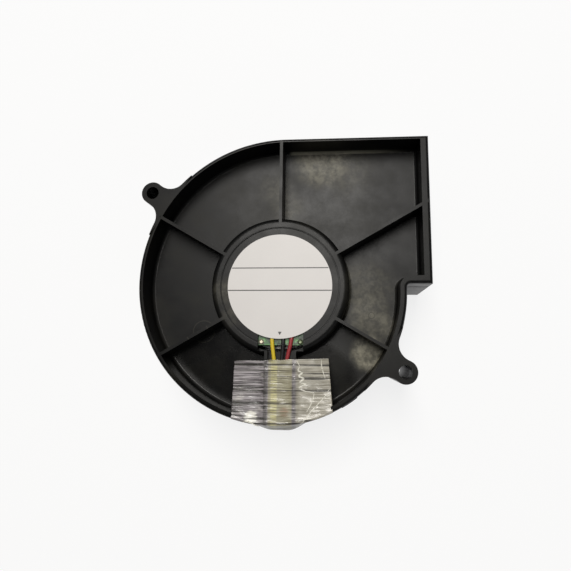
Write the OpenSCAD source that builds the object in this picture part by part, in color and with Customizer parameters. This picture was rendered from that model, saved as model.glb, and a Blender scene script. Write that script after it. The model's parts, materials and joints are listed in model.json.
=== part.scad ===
// Direct-current centrifugal blower: a scroll housing in two shells, with a
// brushless outer-rotor motor in its hub. The inlet face lies on Z = 0, the
// motor side faces up, the rotor turns about the Z axis and the outlet faces +X.

/* [Housing] */
// Depth of the housing along the rotor axis
body_h = 33; // [31:0.5:36]
// Radius of the scroll's first quarter, next to the outlet's lower wall
scroll_r = 42.8; // [41.6:0.2:46]
// Growth of the scroll's radius at each quarter turn
scroll_step = 3.2; // [2.6:0.2:4]
// Distance from the rotor axis to the outlet face
outlet_reach = 49.4; // [48:0.2:56]
// Height of the outlet's lower wall above the rotor axis
outlet_low = 0.7; // [0.4:0.1:1]
// Radius of the outer corner where the scroll meets the outlet's lower wall
corner_r = 1.2; // [1.1:0.1:1.6]
// Side wall of the front cover
duct_wall = 1.8; // [1.4:0.1:2.2]
// Plate of the front cover
front_t = 1.6; // [1.2:0.1:2]
// Running gap between the two shells along the parting line
shell_gap = 0.2; // [0.1:0.05:0.4]
// Rounding of the cover's outer edge
edge_r = 0.5; // [0.3:0.1:0.8]
// Rounding of the frame's outer edge
back_edge_r = 1; // [0.8:0.1:1.1]

/* [Back of the frame] */
// Depth of the pockets between the ribs
recess_depth = 9.4; // [8.6:0.2:10]
// Floor of the pockets
floor_t = 1.5; // [1.3:0.1:1.8]
// Rim at the top of the scroll, where it is thinnest
rim_thin = 1.2; // [1:0.1:1.6]
// Rim below the outlet, where the scroll's wall is thickest
rim_thick = 2.2; // [2:0.1:3]
// Rim along the outlet's lower wall
rim_low = 2.6; // [2.4:0.1:3]
// Rim across the outlet's end
rim_end = 2.7; // [2:0.1:3.5]
// Rounding at the foot of the pockets' walls
foot_r = 1; // [0.6:0.1:1.2]
// Thickness of the ribs
rib_t = 1; // [0.8:0.1:1.4]
// Radius of the motor hub
hub_r = 22.8; // [22.4:0.2:24]
// Rounding of the hub's edge
hub_edge_r = 1.8; // [1:0.1:2]
// Plate that closes the hub
hub_plate_t = 1.9; // [1.7:0.1:2.2]
// Side wall of the hub
hub_wall = 1.4; // [1.2:0.1:1.5]

/* [Mounting ears] */
// Distance of a screw hole from the scroll's wall
ear_out = 6.15; // [5.5:0.05:8]
// Direction of the upper left ear from the centre of its arc
ear_a_angle = 146.3; // [142:0.1:150]
// Direction of the lower right ear from the centre of its arc
ear_b_angle = -31.7; // [-36:0.1:-29]
// Radius of an ear's round end
ear_r = 3.8; // [3.4:0.1:4.4]
// Radius of a screw hole
ear_hole_r = 2.15; // [1.8:0.05:2.4]
// Radius of the hollow between an ear and the scroll
ear_fillet_r = 5.5; // [4:0.5:7]

/* [Latches] */
// Width of a latch arm
latch_w = 6; // [5:0.5:8]
// Thickness of a latch arm
latch_t = 0.8; // [0.7:0.1:1]
// Height of an arm's lower end above the inlet face
latch_low = 12; // [10:0.5:13]
// Reach of an arm up the frame's side
latch_root = 2.5; // [2:0.5:4]

/* [Lead channel] */
// Place of the lead channel's middle along X
channel_x = 0.5; // [0:0.1:1]
// Width between the channel's walls
channel_w = 8.2; // [7.6:0.2:9]
// Depth of the channel's floor below the back plane
channel_depth = 2.5; // [2.4:0.1:3]
// Thickness of the channel's floor
channel_floor_t = 1.2; // [1:0.1:1.6]
// Depth of the saddle that the leads cross in the rim
saddle_depth = 2.4; // [2.3:0.1:2.6]
// Width of the window in the hub's plate
window_w = 14.7; // [12:0.1:16]
// Distance of the window's outer end from the rotor axis
window_out = 21.1; // [20.4:0.1:21.2]
// Distance of the window's inner end from the rotor axis
window_in = 12; // [11:0.5:13]

/* [Label and tape] */
// Radius of the label
label_r = 17.2; // [16:0.1:18]
// Thickness of the label
label_t = 0.15; // [0.1:0.05:0.2]
// Radius of the shallow seat round the label
seat_r = 19.6; // [19:0.1:20]
// Depth of that seat
seat_depth = 0.4; // [0.3:0.05:0.5]
// Width of the strapping tape
tape_w = 31; // [28:0.5:34]
// Thickness of the tape
tape_t = 0.2; // [0.15:0.05:0.3]
// Distance of the tape's inner end from the rotor axis
tape_in = 24; // [23.5:0.5:26]
// Length of tape that turns down over the side wall
tape_drop = 5; // [4:0.5:8]
// Depth of the shallow relief that keeps the tape flush with the back plane
tape_seat = 0.2; // [0.15:0.05:0.3]

/* [Inlet and impeller] */
// Radius of the inlet
inlet_r = 30.5; // [28:0.5:31]
// Width of the inlet's rolled lip
lip_w = 2.2; // [1.8:0.1:2.6]
// Height of the lip above the inlet face
lip_h = 3.2; // [2.6:0.1:3.4]
// Outer radius of the blades
blade_out = 36.6; // [35.6:0.1:37]
// Inner radius of the blades
blade_in = 31.2; // [30:0.1:32]
// Number of blades
blade_n = 37; // [29:2:43]
// Thickness of a blade
blade_t = 0.8; // [0.7:0.05:1]
// Radius of a blade's curve
blade_curve = 6.6; // [6.4:0.1:8]
// Gap under the frame's floor above the impeller
top_gap = 1.3; // [1:0.1:1.6]
// Gap between the inlet's lip and the blades
lip_gap = 0.9; // [0.7:0.1:1.2]
// Back plate of the impeller
disc_t = 1.2; // [1:0.1:1.5]
// Ring that ties the blades at the inlet side
band_h = 1.8; // [1.4:0.1:2.4]
// Width of that ring
band_w = 1.6; // [1.2:0.1:2]
// Wall of the impeller's hub cup
cup_wall = 1.15; // [1:0.05:1.2]
// Front face of the impeller's hub cup
cup_face = 1.5; // [1.3:0.1:1.8]

/* [Rotor] */
// Outer radius of the steel yoke
yoke_r = 20.4; // [20:0.1:20.4]
// Wall of the yoke
yoke_t = 1; // [0.8:0.1:1.2]
// Radial thickness of the magnet ring
magnet_t = 1.5; // [1.2:0.1:1.8]
// Height of the magnet ring
magnet_h = 13; // [12:0.5:14]
// Depth of the yoke past the magnet's end
yoke_lip = 0.5; // [0.3:0.1:0.7]
// Radius of the shaft
shaft_r = 1.5; // [1.3:0.05:1.6]
// Radius of the rotor's boss
boss_r = 3; // [2.7:0.1:3.4]
// Radius of the boss's flange
boss_flange_r = 4.6; // [4:0.1:5.4]

/* [Stator] */
// Air gap between the magnet ring and the poles
air_gap = 0.7; // [0.5:0.05:0.9]
// Height of the lamination stack
stack_h = 9; // [8:0.5:9.5]
// Width of a stator tooth
tooth_w = 5; // [4:0.25:5.5]
// Radial thickness of the stator's centre ring
stator_ring = 2.6; // [2:0.1:3]
// Radial thickness of a pole shoe
shoe_t = 1.9; // [1.6:0.1:2.4]
// Gap between neighbouring pole shoes
slot_gap = 2.6; // [2:0.1:3.4]
// Thickness of the bobbin's plates
bobbin_t = 1; // [0.8:0.1:1.2]
// Build-up of a coil on its tooth
coil_t = 1.9; // [1.5:0.1:2]
// Thickness of the circuit board
board_t = 1; // [0.8:0.1:1.2]
// Radius of the circuit board
board_r = 20.4; // [20:0.1:20.8]
// Distance of the board's flat edge from the rotor axis
board_flat = 19.2; // [18.8:0.1:19.6]
// Length of the driver chip
chip_l = 4.9; // [4:0.1:5.2]
// Width of the driver chip
chip_w = 3.9; // [3:0.1:4.4]
// Length of a small component on the board
part_l = 3.2; // [2:0.1:3.4]
// Width of a small component on the board
part_w = 1.6; // [1.2:0.1:2]
// Radius of a solder joint
solder_r = 0.9; // [0.7:0.05:1]
// Radius of a coil pin
pin_r = 0.35; // [0.3:0.05:0.4]

/* [Bearings] */
// Outer radius of a bearing
bearing_r = 4; // [3.8:0.1:4.4]
// Width of a bearing
bearing_w = 4; // [3.6:0.1:4.4]
// Thickness of an outer race
outer_race_t = 0.75; // [0.7:0.05:0.8]
// Thickness of an inner race
inner_race_t = 0.9; // [0.8:0.05:0.95]
// Radius of a ball
ball_r = 0.65; // [0.55:0.05:0.7]
// Number of balls
ball_n = 7; // [6:1:8]
// Wall of the bearing tube
tube_t = 1; // [0.8:0.1:1.2]

/* [Connector] */
// Distance between neighbouring contacts
pitch = 2.5; // [2.3:0.1:2.7]
// Length of the connector's housing
plug_l = 11.5; // [10:0.5:13]
// Width of the housing
plug_w = 9.8; // [9.4:0.2:11]
// Height of the housing
plug_h = 5.8; // [5.4:0.2:7]

/* [Hidden] */
$fn = 96;
fine = 32;
eps = 0.01;
fit = 0.02;
far = 200;

// Levels along Z
floor_top = body_h - recess_depth;
split_z = floor_top - floor_t;
hub_under = body_h - hub_plate_t;
seat_z = body_h - seat_depth;
channel_z = body_h - channel_depth;
tape_z = body_h - tape_seat;
saddle_z = body_h - saddle_depth;
disc_top = split_z - top_gap;
blade_z = lip_h + lip_gap;
blade_low = blade_z + 0.3;
face_z = blade_z;
yoke_z = face_z + cup_face;
board_z = hub_under - board_t;
part_h = board_t;
yoke_top = board_z - 2 * part_h - 0.1;
magnet_z = yoke_top - yoke_lip - magnet_h;
stack_z = magnet_z + (magnet_h - stack_h) / 2;
stack_top = stack_z + stack_h;

// Radii of the hub and the motor
cavity_r = hub_r - hub_wall;
cup_in = yoke_r + fit;
cup_r = cup_in + cup_wall;
magnet_r = yoke_r - yoke_t - fit;
pole_r = magnet_r - magnet_t - air_gap;
bore_r = shaft_r + fit / 2;
race_in_r = bore_r + inner_race_t;
race_out_r = bearing_r - outer_race_t;
ball_track = (race_in_r + race_out_r) / 2;
groove_r = ball_r + 0.05;
tube_in = bearing_r + fit;
tube_r = tube_in + tube_t;
tube_shoulder = 0.7;
part_r = board_r * 0.62;
tube_top = hub_under - 0.3;
tube_boss_r = tube_r + 1.6;
boss_low = stack_top + bobbin_t + 0.3;
rear_bearing_z = tube_top - 1.6 - bearing_w;
front_bearing_z = yoke_z + yoke_t + 4.4;
tube_low = front_bearing_z - 0.4;
stator_bore = tube_r + fit;
ring_out = stator_bore + stator_ring;
shoe_in = pole_r - shoe_t;
coil_start = ring_out + 0.3;
coil_half = tooth_w / 2 + 0.3 + coil_t;
coil_end = sqrt(pow(shoe_in - 0.4, 2) - pow(coil_half, 2));
pin_at = tube_boss_r + pin_r + 0.3;
clip_z = rear_bearing_z + bearing_w + 0.05;
clip_t = 0.35;
shaft_top = clip_z + clip_t + 0.6;
boss_flange_t = 1;
boss_top = front_bearing_z - 2.4;
boss_bottom = face_z + 0.5;

// Scroll: three quarter discs round the corners of a small square
rim_step = scroll_step + (rim_thick - rim_thin) / 3;
rim_r = scroll_r - scroll_step / 2 - rim_thick + rim_step / 2;
recess_right = outlet_reach - rim_end;
recess_low = outlet_low + rim_low;
recess_top = rim_r + 2.5 * rim_step;
recess_side = rim_r - rim_step / 2;
recess_corner = corner_r + 2.4;
outlet_top = scroll_r + 2.5 * scroll_step;
scroll_right = scroll_r - scroll_step / 2;
centre_1 = [-scroll_step / 2, -scroll_step / 2];
centre_2 = [-scroll_step / 2, scroll_step / 2];
centre_3 = [scroll_step / 2, scroll_step / 2];
arc_1 = scroll_r;
arc_2 = scroll_r + scroll_step;
arc_3 = scroll_r + 2 * scroll_step;
saddle_y = -sqrt(pow(arc_2, 2) - pow(channel_x - centre_2[0], 2)) + centre_2[1];
saddle_wall = (rim_thin + rim_thick) / 2;
tongue_t = 0.8;
tongue_h = 0.6;
rib_angles = [30, 90, 150, 210, 330];

// Ears
ear_a = centre_3 + (arc_3 + ear_out) * [cos(ear_a_angle), sin(ear_a_angle)];
ear_b = centre_1 + (arc_1 + ear_out) * [cos(ear_b_angle), sin(ear_b_angle)];

// Latches: centre, radius and direction of each on the scroll, and one on the flat top
latches = [
    [centre_1, arc_1, -12],
    [centre_1, arc_1, -56],
    [centre_2, arc_2, -148],
    [centre_3, arc_3, 118]
];
top_latch_x = 30;
latch_play = 0.1;
hook_w = 3.2;
hook_out = 0.8;
hook_z = latch_low + 2.2;
hook_h = 2.6;
latch_pad = 1;

// Tape
tape_x = channel_x + 0.5;
tape_play = 0.2;
bulge_w = 6;
bulge_out = 1.75;

// Free leads: each starts on the board, leaves through the channel, turns down
// over the rim and follows the foot of the housing's side wall to the connector.
// Red and black lie on the floor and yellow lies in the groove between them.
lead_r = 0.65;
pad_out = window_w / 2 - solder_r - 0.1;
plug_x = 27;
plug_y = 56.2;
plug_bore_r = 1;
contact_z = plug_h / 2;
contact_ys = [for (i = [-1:1]) plug_y + i * pitch];
contact_x = plug_x + 3.7;
red_route = [
    [4.4, -14.6, 31.8], [3.7, -19, 31.8], [2.5, -24.5, 31.3], [2, -42.3, 31.3], [2, -43.9, 30.95],
    [2, -45, 29.85], [2, -45.35, 28.2], [2, -45.35, 4.1], [1.5, -45.35, 2.2], [0.1, -45.4, 1.05], [-2, -45.4, 0.75],
    [-12.2, -44.2, 0.75], [-22.2, -40.7, 0.75], [-31.3, -35, 0.75], [-38.8, -27.4, 0.75], [-44.3, -18.3, 0.75],
    [-47.6, -8.2, 0.75], [-48.7, 3, 0.75], [-49.4, 31.5, 0.75], [-48.1, 35.6, 0.75], [-44.9, 37.5, 0.75],
    [-16.7, 48.5, 0.75], [-7, 51.1, 0.75], [2, 51.9, 0.75], [11, 52.5, 1.2], [20, 53.6, 2.4], [30.5, 53.7, 2.9]
];
black_route = [
    [1.4, -14.6, 31.8], [1.3, -19, 31.8], [0.9, -24.5, 31.3], [0.5, -42.3, 31.3], [0.5, -43.9, 30.95],
    [0.5, -45, 29.85], [0.5, -45.35, 28.2], [0.5, -45.4, 6.2], [-0.1, -45.7, 3.8], [-2.1, -46.5, 1.8], [-4.7, -46.75, 0.9],
    [-12.6, -45.5, 0.75], [-22.8, -41.9, 0.75], [-32.2, -36.1, 0.75], [-39.9, -28.2, 0.75], [-45.6, -18.9, 0.75],
    [-48.9, -8.4, 0.75], [-50.1, 3, 0.75], [-50.8, 31.8, 0.75], [-49.1, 36.7, 0.75], [-45.4, 38.8, 0.75],
    [-17.1, 49.8, 0.75], [-7.3, 52.5, 0.75], [2, 53.3, 0.75], [11, 55.4, 0.95], [21, 58.4, 2.3], [30.5, 58.7, 2.9]
];
yellow_route = [
    [-2.4, -14.6, 31.8], [-2.2, -19, 31.8], [-1.6, -24.5, 31.3], [-1, -42.3, 31.3], [-1, -43.9, 30.95],
    [-1, -45, 29.85], [-1, -45.35, 28.2], [-1, -45.4, 7.2], [-1.7, -45.6, 4.9], [-3.6, -45.9, 3], [-6.2, -45.9, 2.1],
    [-12.4, -44.8, 2], [-22.5, -41.3, 2], [-31.7, -35.5, 2], [-39.3, -27.8, 2], [-44.9, -18.6, 2],
    [-48.3, -8.3, 2], [-49.4, 3, 2], [-50.1, 31.6, 2], [-48.6, 36.1, 2], [-45.1, 38.1, 2],
    [-16.9, 49.1, 2], [-7.1, 51.8, 2], [2, 52.6, 2], [11, 54.2, 2.5], [20, 56, 2.9], [30.5, 56.2, 2.9]
];
lead_starts = [yellow_route[0][0], black_route[0][0], red_route[0][0]];

// ---------------------------------------------------------------- helpers

// Quarter of a disc round centre c, in the quadrant that sx and sy point to
module quarter_2d(c, r, sx, sy) {
    translate(c) intersection() {
        circle(r);
        translate([sx < 0 ? -r - 1 : 0, sy < 0 ? -r - 1 : 0]) square(r + 1);
    }
}

// Area of the scroll and its outlet duct
module scroll_2d(r, step, reach, low, fillet) {
    right = r - step / 2;
    top = r + 2.5 * step;
    quarter_2d([-step / 2, -step / 2], r, 1, -1);
    quarter_2d([-step / 2, step / 2], r + step, -1, -1);
    quarter_2d([step / 2, step / 2], r + 2 * step, -1, 1);
    translate([-step / 2, -step / 2]) square([right + step / 2, low + step / 2]);
    translate([step / 2, low]) square([reach - step / 2, top - low]);
    difference() {
        translate([right - eps, low - fillet]) square(fillet + eps);
        translate([right + fillet, low - fillet]) circle(fillet, $fn = fine);
    }
}

module outline_2d(grow = 0) {
    scroll_2d(scroll_r + grow, scroll_step, outlet_reach + grow, outlet_low - grow, corner_r - grow);
}

module duct_2d(inset) {
    scroll_2d(scroll_r - inset, scroll_step, outlet_reach + 1, outlet_low + inset, corner_r + inset);
}

module recess_2d() {
    scroll_2d(rim_r, rim_step, recess_right, recess_low, recess_corner);
}

// One mounting ear: a round end that flares into an arc of the scroll
module ear_2d(c, arc_c, arc_r) {
    d = norm(c - arc_c);
    to_end = ear_r + ear_fillet_r;
    spread = acos((pow(to_end, 2) + d * d - pow(arc_r + ear_fillet_r, 2)) / (2 * to_end * d));
    inward = atan2(arc_c[1] - c[1], arc_c[0] - c[0]);
    hollows = [for (s = [-1, 1]) c + to_end * [cos(inward + s * spread), sin(inward + s * spread)]];
    root = arc_c + (arc_r - 1) * (c - arc_c) / d;
    difference() {
        polygon([c, hollows[0], root, hollows[1]]);
        for (h = hollows) translate(h) circle(ear_fillet_r);
    }
    translate(c) circle(ear_r);
}

module ears_2d() {
    ear_2d(ear_a, centre_3, arc_3);
    ear_2d(ear_b, centre_1, arc_1);
}

module ear_holes(z, h) {
    for (c = [ear_a, ear_b]) translate([c[0], c[1], z - eps]) cylinder(r = ear_hole_r, h = h + 2 * eps);
}

// Waste of an outer edge that is rounded to radius e: the edge lies on the origin
module edge_waste_2d(e) {
    difference() {
        translate([-e, -e]) square(e + 1);
        translate([-e, -e]) circle(e, $fn = fine);
    }
}

// Rounds the scroll's outer edge in the plane Z = 0, for a body that lies below it
module scroll_edge_waste(e) {
    for (a = [[centre_1, arc_1, -90], [centre_2, arc_2, -180], [centre_3, arc_3, 90]])
        translate([a[0][0], a[0][1], 0]) rotate([0, 0, a[2]])
            rotate_extrude(angle = 90) translate([a[1], 0]) edge_waste_2d(e);
    translate([centre_3[0], outlet_top, 0]) rotate([90, 0, 90])
        linear_extrude(outlet_reach + 1 - centre_3[0]) edge_waste_2d(e);
    translate([outlet_reach, outlet_low - 1, 0]) rotate([90, 0, 0]) mirror([0, 0, 1])
        linear_extrude(outlet_top - outlet_low + 2) edge_waste_2d(e);
    translate([scroll_right + corner_r, outlet_low, 0]) rotate([90, 0, 90]) mirror([1, 0, 0])
        linear_extrude(outlet_reach + 1 - scroll_right - corner_r) edge_waste_2d(e);
    translate([scroll_right + corner_r, outlet_low - corner_r, 0]) rotate([0, 0, 90])
        rotate_extrude(angle = 90) translate([corner_r, 0]) mirror([1, 0]) edge_waste_2d(e);
    translate([scroll_right, outlet_low - corner_r, 0]) rotate([90, 0, 0])
        linear_extrude(outlet_low - corner_r - centre_1[1]) edge_waste_2d(e);
}

// Hollow fillet at the foot of a wall: the wall stands on the left of the origin
module foot_2d() {
    difference() {
        translate([-0.2, -0.2]) square(foot_r + 0.2);
        translate([foot_r, foot_r]) circle(foot_r, $fn = fine);
    }
}

// Fillets round the pockets' floor, along the rim and the hub
module feet() {
    h = rim_step / 2;
    for (a = [[[-h, -h], rim_r, -90], [[-h, h], rim_r + rim_step, -180], [[h, h], rim_r + 2 * rim_step, 90]])
        translate(a[0]) rotate([0, 0, a[2]]) rotate_extrude(angle = 90) translate([a[1], 0]) mirror([1, 0]) foot_2d();
    translate([h, recess_top, 0]) rotate([90, 0, 90]) linear_extrude(recess_right - h) mirror([1, 0]) foot_2d();
    translate([recess_right, recess_top, 0]) rotate([90, 0, 0])
        linear_extrude(recess_top - recess_low) mirror([1, 0]) foot_2d();
    translate([recess_side + recess_corner, recess_low, 0]) rotate([90, 0, 90])
        linear_extrude(recess_right - recess_side - recess_corner) foot_2d();
    translate([recess_side + recess_corner, recess_low - recess_corner, 0]) rotate([0, 0, 90])
        rotate_extrude(angle = 90) translate([recess_corner, 0]) foot_2d();
    translate([recess_side, recess_low - recess_corner, 0]) rotate([90, 0, 0])
        linear_extrude(recess_low - recess_corner + h) mirror([1, 0]) foot_2d();
    rotate_extrude() translate([hub_r, 0]) foot_2d();
}

// Points of a swept tube: a frame is carried along the route so that it never twists
function unit(v) = v / norm(v);
function heading(p, i) =
    i == 0 ? unit(p[1] - p[0]) :
    i == len(p) - 1 ? unit(p[i] - p[i - 1]) :
    unit(unit(p[i + 1] - p[i]) + unit(p[i] - p[i - 1]));
function upright(t, u) = unit(u - (u * t) * t);
function uprights(p, i, u) =
    i == len(p) ? [] :
    let (v = upright(heading(p, i), u)) concat([v], uprights(p, i + 1, v));

module tube(p, r, sides) {
    ups = uprights(p, 0, abs(heading(p, 0)[2]) < 0.9 ? [0, 0, 1] : [1, 0, 0]);
    points = [for (i = [0:len(p) - 1]) let (t = heading(p, i), u = ups[i], w = cross(t, u))
        for (k = [0:sides - 1]) p[i] + r * (cos(360 * k / sides) * u + sin(360 * k / sides) * w)];
    walls = [for (i = [0:len(p) - 2]) for (k = [0:sides - 1]) let (n = (k + 1) % sides)
        [i * sides + k, (i + 1) * sides + k, (i + 1) * sides + n, i * sides + n]];
    first = [for (k = [0:sides - 1]) k];
    last = [for (k = [sides - 1:-1:0]) (len(p) - 1) * sides + k];
    polyhedron(points, concat(walls, [first, last]), convexity = 10);
}

module ring(r_in, r_out, h) {
    difference() {
        cylinder(r = r_out, h = h);
        translate([0, 0, -eps]) cylinder(r = r_in, h = h + 2 * eps);
    }
}

// ---------------------------------------------------------------- housing

// Strip of a latch's width that follows the scroll's wall, from inset to out
module latch_strip(arc_c, arc_r, angle, inset, out, width, z, h) {
    translate([arc_c[0], arc_c[1], z]) rotate([0, 0, angle]) linear_extrude(h)
        intersection() {
            difference() {
                circle(arc_r + out);
                circle(arc_r + inset);
            }
            translate([0, -width / 2]) square([arc_r + out + 1, width]);
        }
}

module flat_strip(inset, out, width, z, h) {
    translate([top_latch_x - width / 2, outlet_top + inset, z]) cube([width, out - inset, h]);
}

module latch_arms() {
    reach = latch_play + latch_t;
    for (l = latches) difference() {
        union() {
            latch_strip(l[0], l[1], l[2], -latch_pad, reach, latch_w, split_z, latch_root);
            latch_strip(l[0], l[1], l[2], latch_play, reach, latch_w, latch_low, split_z - latch_low + eps);
        }
        latch_strip(l[0], l[1], l[2], 0, reach + 1, hook_w + 0.4, hook_z - 0.2, hook_h + 0.4);
    }
    difference() {
        union() {
            flat_strip(-latch_pad, reach, latch_w, split_z, latch_root);
            flat_strip(latch_play, reach, latch_w, latch_low, split_z - latch_low + eps);
        }
        flat_strip(0, reach + 1, hook_w + 0.4, hook_z - 0.2, hook_h + 0.4);
    }
}

// Ramp that an arm snaps over: it grows from the wall and ends in a flat top
module hook_profile() {
    polygon([[-0.5, 0], [0, 0], [hook_out, hook_h * 0.7], [hook_out, hook_h], [-0.5, hook_h]]);
}

module hooks() {
    for (l = latches) translate([l[0][0], l[0][1], hook_z]) rotate([0, 0, l[2]])
        translate([l[1], hook_w / 2, 0]) rotate([90, 0, 0]) linear_extrude(hook_w) hook_profile();
    translate([top_latch_x - hook_w / 2, outlet_top, hook_z]) rotate([90, 0, 90])
        linear_extrude(hook_w) hook_profile();
}

module hub_shell() {
    translate([0, 0, floor_top - eps]) rotate_extrude() difference() {
        square([hub_r, recess_depth + eps]);
        translate([hub_r, recess_depth + eps]) edge_waste_2d(hub_edge_r);
    }
}

module ribs() {
    translate([0, 0, floor_top - eps]) linear_extrude(recess_depth + eps) intersection() {
        outline_2d(-rim_thin / 2);
        for (a = rib_angles) rotate(a) translate([hub_r - hub_edge_r - 0.2, -rib_t / 2]) square([far, rib_t]);
    }
}

module channel_walls() {
    translate([0, 0, floor_top - eps]) linear_extrude(recess_depth + eps) intersection() {
        outline_2d(-rim_thin / 2);
        for (s = [-1, 1]) translate([channel_x + s * (channel_w + rib_t) / 2 - rib_t / 2, -far])
            square([rib_t, far - hub_r + 2 * hub_edge_r]);
    }
    translate([0, 0, channel_z - channel_floor_t]) linear_extrude(channel_floor_t) intersection() {
        outline_2d(-rim_thin / 2);
        translate([channel_x - channel_w / 2 - rib_t / 2, -far]) square([channel_w + rib_t, far - cavity_r]);
    }
}

module base_frame() {
    color([0.11, 0.11, 0.11]) difference() {
        union() {
            difference() {
                translate([0, 0, split_z]) linear_extrude(body_h - split_z) outline_2d();
                translate([0, 0, floor_top]) linear_extrude(recess_depth + 1) recess_2d();
                translate([0, 0, body_h]) scroll_edge_waste(back_edge_r);
            }
            hub_shell();
            translate([0, 0, floor_top]) feet();
            ribs();
            channel_walls();
            translate([0, 0, split_z]) linear_extrude(body_h - split_z) ears_2d();
            latch_arms();
        }
        // motor cavity, less the boss that holds the bearing tube
        difference() {
            translate([0, 0, split_z - 1]) cylinder(r = cavity_r, h = hub_under - split_z + 1);
            translate([0, 0, boss_low]) cylinder(r = tube_boss_r, h = far);
        }
        translate([0, 0, boss_low - 1]) cylinder(r = tube_r + fit, h = hub_under - boss_low + 1);
        // seat of the label
        translate([0, 0, seat_z]) cylinder(r = seat_r, h = 1);
        // window over the board's edge, and the way out of the hub for the leads
        translate([channel_x - window_w / 2, -window_out, board_z]) cube([window_w, window_out - window_in, far]);
        translate([channel_x - channel_w / 2, -hub_r - 1, channel_z]) cube([channel_w, hub_r - window_in, far]);
        // hollow under the channel's floor, open to the scroll
        translate([channel_x - channel_w / 2, saddle_y + saddle_wall, split_z - 1])
            cube([channel_w, -saddle_y - saddle_wall - hub_r, channel_z - channel_floor_t - split_z + 1]);
        // saddle in the rim
        translate([channel_x - channel_w / 2, saddle_y - 1, saddle_z]) cube([channel_w, saddle_wall + 2, far]);
        translate([channel_x - channel_w / 2, saddle_y, saddle_z]) rotate([90, 0, 90]) mirror([1, 0, 0])
            linear_extrude(channel_w) edge_waste_2d(saddle_wall);
        // relief under the tape
        translate([tape_x - tape_w / 2 - tape_play, -far, tape_z]) cube([tape_w + 2 * tape_play, far - tape_in + tape_play, far]);
        // groove for the cover's tongue
        translate([0, 0, split_z - eps]) linear_extrude(tongue_h + 0.1 + eps) difference() {
            duct_2d(duct_wall - tongue_t - 0.1);
            duct_2d(duct_wall + 0.1);
        }
        ear_holes(split_z, body_h - split_z);
    }
}

module front_cover() {
    color([0.13, 0.13, 0.13]) difference() {
        union() {
            difference() {
                linear_extrude(split_z - shell_gap) outline_2d();
                translate([0, 0, front_t]) linear_extrude(far) duct_2d(duct_wall);
                mirror([0, 0, 1]) scroll_edge_waste(edge_r);
            }
            linear_extrude(split_z - shell_gap) ears_2d();
            translate([0, 0, split_z - 2]) linear_extrude(2 + tongue_h) intersection() {
                difference() {
                    duct_2d(duct_wall - tongue_t);
                    duct_2d(duct_wall);
                }
                translate([-far, -far]) square([far + outlet_reach, 2 * far]);
            }
            hooks();
            cylinder(r = inlet_r + lip_w, h = lip_h);
        }
        // inlet, with its rolled lip
        translate([0, 0, -eps]) cylinder(r = inlet_r, h = lip_h + 2 * eps);
        rotate_extrude() translate([inlet_r, 0]) rotate(180) edge_waste_2d(lip_w - 0.4);
        rotate_extrude() translate([inlet_r + lip_w, lip_h]) edge_waste_2d(lip_w / 2);
        ear_holes(0, split_z);
    }
}

// ---------------------------------------------------------------- label, tape

module label() {
    color([0.87, 0.86, 0.84]) translate([0, 0, seat_z]) cylinder(r = label_r, h = label_t);
}

module tape() {
    outer_y = saddle_y - bulge_out;
    color([0.72, 0.69, 0.6]) difference() {
        union() {
            translate([0, 0, tape_z - tape_drop]) linear_extrude(tape_drop + tape_t) intersection() {
                outline_2d(tape_t + fit);
                translate([tape_x - tape_w / 2, -far]) square([tape_w, far - tape_in]);
            }
            translate([channel_x - bulge_w / 2 - tape_t, outer_y - tape_t, tape_z - tape_drop])
                cube([bulge_w + 2 * tape_t, bulge_out + 2, tape_drop + tape_t]);
        }
        translate([0, 0, tape_z - tape_drop - 1]) linear_extrude(tape_drop + 1) outline_2d(fit);
        translate([channel_x - bulge_w / 2, outer_y, tape_z - tape_drop - 1])
            cube([bulge_w, bulge_out + 3, tape_drop + 1]);
    }
}

// ---------------------------------------------------------------- circuit board

// Ring with one flat edge, which leaves the way out for the leads
module circuit_board() {
    color([0.1, 0.42, 0.2]) translate([0, 0, board_z]) difference() {
        ring(tube_boss_r + 0.3, board_r, board_t);
        translate([-far / 2, -far - board_flat, -eps]) cube([far, far, board_t + 2 * eps]);
    }
}

// A component under the board: size is its radial length, its width and its height
module under_board(angle, r, size) {
    rotate([0, 0, angle]) translate([r, 0, board_z - size[2] / 2]) cube(size, center = true);
}

module driver_chip() {
    color([0.08, 0.08, 0.08]) under_board(45, board_r * 0.7, [chip_w, chip_l, part_h * 1.5]);
}

module hall_sensor() {
    color([0.1, 0.1, 0.1]) under_board(-45, board_r * 0.8, [part_w, part_w * 1.8, part_h]);
}

module board_components() {
    color([0.65, 0.6, 0.5]) {
        for (a = [-135, 135]) under_board(a, part_r, [part_l, part_w, part_h]);
        for (a = [-45, 160]) under_board(a, part_r, [part_w * 1.2, part_w * 0.75, part_h * 0.6]);
    }
}

// Joints of the three leads under the label, and one at each end of the board's flat edge
module solder_joints() {
    lead_y = yellow_route[0][1] + solder_r + 0.2;
    pad_y = -board_flat + solder_r + 0.1;
    color([0.75, 0.75, 0.72]) {
        for (x = lead_starts) translate([x, lead_y, hub_under])
            cylinder(r1 = solder_r, r2 = solder_r * 0.45, h = solder_r * 0.9, $fn = fine);
        for (x = [channel_x - pad_out, channel_x + pad_out]) translate([x, pad_y, hub_under])
            cylinder(r1 = solder_r, r2 = solder_r * 0.5, h = solder_r * 0.6, $fn = fine);
    }
}

module coil_pins() {
    color([0.8, 0.78, 0.72]) for (a = [45:90:315]) rotate([0, 0, a])
        translate([pin_at, 0, stack_top + bobbin_t]) cylinder(r = pin_r, h = board_z - stack_top - bobbin_t);
}

// ---------------------------------------------------------------- stator

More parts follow.
